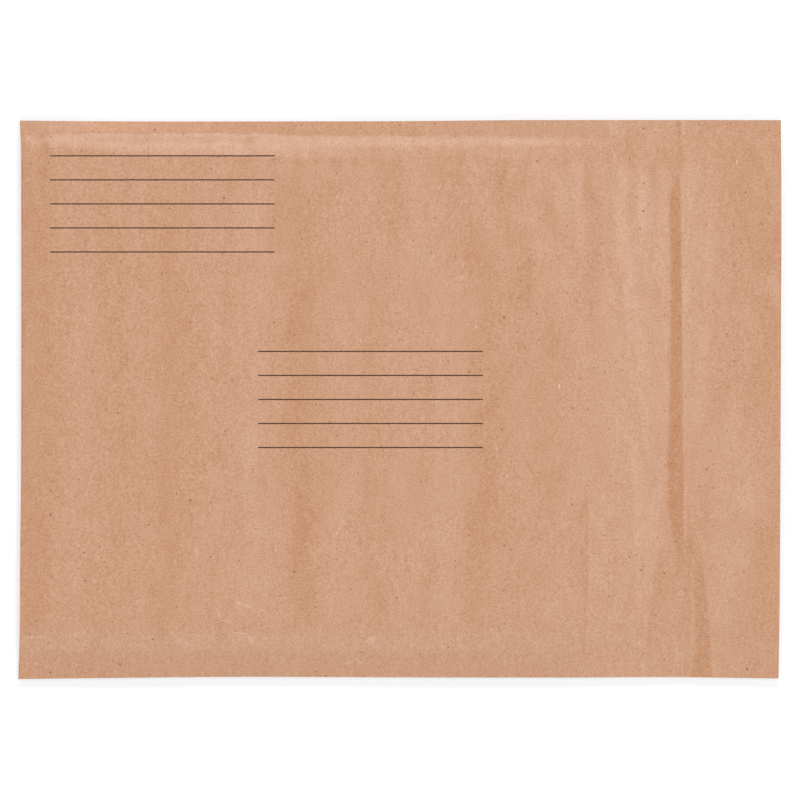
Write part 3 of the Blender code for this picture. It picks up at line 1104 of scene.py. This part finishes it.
def lining():
    """The folded film's two walls, each a thin sheet with its bubbles on the inside."""
    x_start, x_end = X_BAND + FILM_SETBACK, X_MOUTH - FILM_STOP
    y_start, y_end = Y_NEAR + FILM_SETBACK, Y_FAR - FILM_SETBACK
    along = stations(((x_start, 0), (x_end, FILM_SPACING)))
    across = stations(((y_start, 0), (y_end, FILM_SPACING)))
    x, y = np.meshgrid(along, across, indexing="ij")
    offset = PAPER / 2 + FILM_GAP
    lower = np.stack([x, y, back_height(x, y) + offset], -1)
    upper = np.stack([x, y, front_height(x, y) - offset], -1)
    box = (x_start, x_end, y_start, y_end)
    shells = [
        thick_sheet(lower, FILM_SKIN, 0.0),
        thick_sheet(upper, 0.0, FILM_SKIN),
        bubbles(box, 1),
        bubbles(box, -1),
    ]
    points, faces, first = [], [], 0
    for shell_points, shell_faces in shells:
        points.append(shell_points)
        faces += [tuple(int(i) + first for i in face) for face in shell_faces]
        first += len(shell_points)
    return add_mesh("bubble_film", np.concatenate(points), faces, film_look())


# Closure
ADHESIVE_WIDTH = 0.014
ADHESIVE_THICKNESS = 0.00015
ADHESIVE_GAP = 0.00003  # under the flap's paper
ADHESIVE_SIDE_MARGIN = 0.006
ADHESIVE_TIP_MARGIN = 0.009
ADHESIVE_SWAY = 0.00012
LINER_OVERHANG = 0.003  # past the adhesive along the bag
LINER_TAB = 0.004  # and across it
LINER_THICKNESS = 0.00008
LINER_GAP = 0.00004  # under the adhesive
LINER_SWAY = 0.00004
STRIP_SPACING = (0.0012, 0.0022)  # of the mesh along the bag and across it
SWAY_TURNS = (90, 210)  # radians a metre


def strip(name, start, end, side, depth, thickness, look, wander):
    """A band this deep under the flap's paper, from -side to side across the bag, swaying a little."""
    rng = random.Random(len(name))
    u = stations(((start, 0), (end, STRIP_SPACING[0])))[:, None]
    v = stations(((-side, 0), (side, STRIP_SPACING[1])))[None, :]
    phase = [rng.uniform(0, 6.28) for _ in SWAY_TURNS]
    slow, quick = (np.sin(v * turns + start_at) for turns, start_at in zip(SWAY_TURNS, phase))
    sway = wander * (slow + 0.6 * quick)
    x, y = placed(u + sway, v)
    y = y + 0 * x
    z = front_height(x, y) - PAPER / 2 - depth
    grid = np.stack([x, y, z], -1)
    return add_mesh(name, *thick_sheet(grid, 0.0, thickness), look)


def closure():
    """The adhesive band across the flap's inner face and the tape that covers it."""
    end = X_TIP - ADHESIVE_TIP_MARGIN
    start = end - ADHESIVE_WIDTH
    side = WIDTH / 2 - ADHESIVE_SIDE_MARGIN
    glue = strip(
        "adhesive_band", start, end, side, ADHESIVE_GAP, ADHESIVE_THICKNESS, glue_look(), ADHESIVE_SWAY
    )
    tape = strip(
        "release_tape",
        start - LINER_OVERHANG,
        end + LINER_OVERHANG,
        side + LINER_TAB,
        ADHESIVE_GAP + ADHESIVE_THICKNESS + LINER_GAP,
        LINER_THICKNESS,
        liner_look(),
        LINER_SWAY,
    )
    return glue, tape


# Studio
FLOOR_HALF = 6
FLOOR_DROP = 0.0001
FLOOR_GREY = 0.72  # what the object's light bounces off
# To the camera the floor is half grey and half glow, so that it is white and keeps the shadow
FLOOR_SEEN_GREY = 0.46
FLOOR_GLOW = 0.62
WORLD_STRENGTH = 0.145
# Soft lights: name, place, size, power in watts
LIGHTS = (
    ("overhead softbox", (5.2, 1.4, 19.2), (6.0, 6.0), 1110.0),
    ("far softbox", (0.6, 12.0, 13.4), (8.8, 4.4), 1120.0),
    ("near softbox", (0.4, -8.6, 15.6), (8.8, 6.8), 740.0),
    ("left softbox", (-13.6, 0.8, 12.0), (5.2, 8.8), 430.0),
)


def seen_or_not(tree, unseen, seen, surface):
    """Give a surface one shader for the camera and another one for everything else."""
    path = tree.nodes.new("ShaderNodeLightPath")
    choose = tree.nodes.new("ShaderNodeMixShader")
    tree.links.new(path.outputs["Is Camera Ray"], choose.inputs[0])
    tree.links.new(unseen.outputs[0], choose.inputs[1])
    tree.links.new(seen.outputs[0], choose.inputs[2])
    tree.links.new(choose.outputs[0], surface)


def floor():
    """A plain pale floor, white to the camera but for the object's shadow."""
    mesh = bpy.data.meshes.new("floor")
    bm = bmesh.new()
    bmesh.ops.create_grid(bm, x_segments=1, y_segments=1, size=FLOOR_HALF)
    bm.to_mesh(mesh)
    bm.free()
    made = bpy.data.objects.new("floor", mesh)
    made.location.z = -FLOOR_DROP
    bpy.context.scene.collection.objects.link(made)
    look = bpy.data.materials.new("floor")
    look.use_nodes = True
    tree = look.node_tree
    tree.nodes.clear()
    out = tree.nodes.new("ShaderNodeOutputMaterial")
    plain, half = (tree.nodes.new("ShaderNodeBsdfDiffuse") for _ in range(2))
    plain.inputs["Color"].default_value = (FLOOR_GREY, FLOOR_GREY, FLOOR_GREY, 1)
    half.inputs["Color"].default_value = (FLOOR_SEEN_GREY, FLOOR_SEEN_GREY, FLOOR_SEEN_GREY, 1)
    glow = tree.nodes.new("ShaderNodeEmission")
    glow.inputs["Strength"].default_value = FLOOR_GLOW
    seen = tree.nodes.new("ShaderNodeAddShader")
    tree.links.new(half.outputs[0], seen.inputs[0])
    tree.links.new(glow.outputs[0], seen.inputs[1])
    seen_or_not(tree, plain, seen, out.inputs["Surface"])
    mesh.materials.append(look)


def world():
    """Faint even light, and white behind everything for the camera."""
    made = bpy.data.worlds.new("studio")
    bpy.context.scene.world = made
    made.use_nodes = True
    tree = made.node_tree
    ambient = tree.nodes["Background"]
    seen = tree.nodes.new("ShaderNodeBackground")
    for background, strength in ((ambient, WORLD_STRENGTH), (seen, 1.0)):
        background.inputs["Color"].default_value = (1, 1, 1, 1)
        background.inputs["Strength"].default_value = strength
    seen_or_not(tree, ambient, seen, tree.nodes["World Output"].inputs["Surface"])


def lights():
    """Large soft lights, all turned to the object."""
    for name, place, size, power in LIGHTS:
        lamp = bpy.data.lights.new(name, "AREA")
        lamp.shape = "RECTANGLE"
        lamp.size, lamp.size_y = size
        lamp.energy = power
        made = bpy.data.objects.new(name, lamp)
        made.location = place
        made.rotation_euler = Vector(place).to_track_quat("Z", "Y").to_euler()
        bpy.context.scene.collection.objects.link(made)


def camera():
    """A camera straight above, with the photograph's frame."""
    lens = bpy.data.cameras.new("camera")
    lens.sensor_width = SENSOR
    lens.lens = SENSOR * (CAMERA_HEIGHT - EDGE_HEIGHT) / (IMAGE * PIXEL)
    lens.clip_end = CAMERA_REACH
    made = bpy.data.objects.new("camera", lens)
    made.location = ((IMAGE / 2 - CENTRE_X) * PIXEL, (CENTRE_Y - IMAGE / 2) * PIXEL, CAMERA_HEIGHT)
    bpy.context.scene.collection.objects.link(made)
    bpy.context.scene.camera = made


def main():
    """Studio first, then the four pieces and what each one stands for."""
    camera()
    lights()
    world()
    floor()
    bpy.context.scene.view_settings.view_transform = "Standard"

    paper = add_mesh("kraft_sheet", *thick_sheet(sheet_grid(), PAPER / 2, PAPER / 2), kraft_look())
    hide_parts("kraft_envelope")
    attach(paper, "root")

    film = lining()
    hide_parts("bubble_lining")
    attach(film, "root")

    glue, tape = closure()
    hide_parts("adhesive_strip")
    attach(glue, "root")
    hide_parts("release_liner")
    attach(tape, "root")


main()
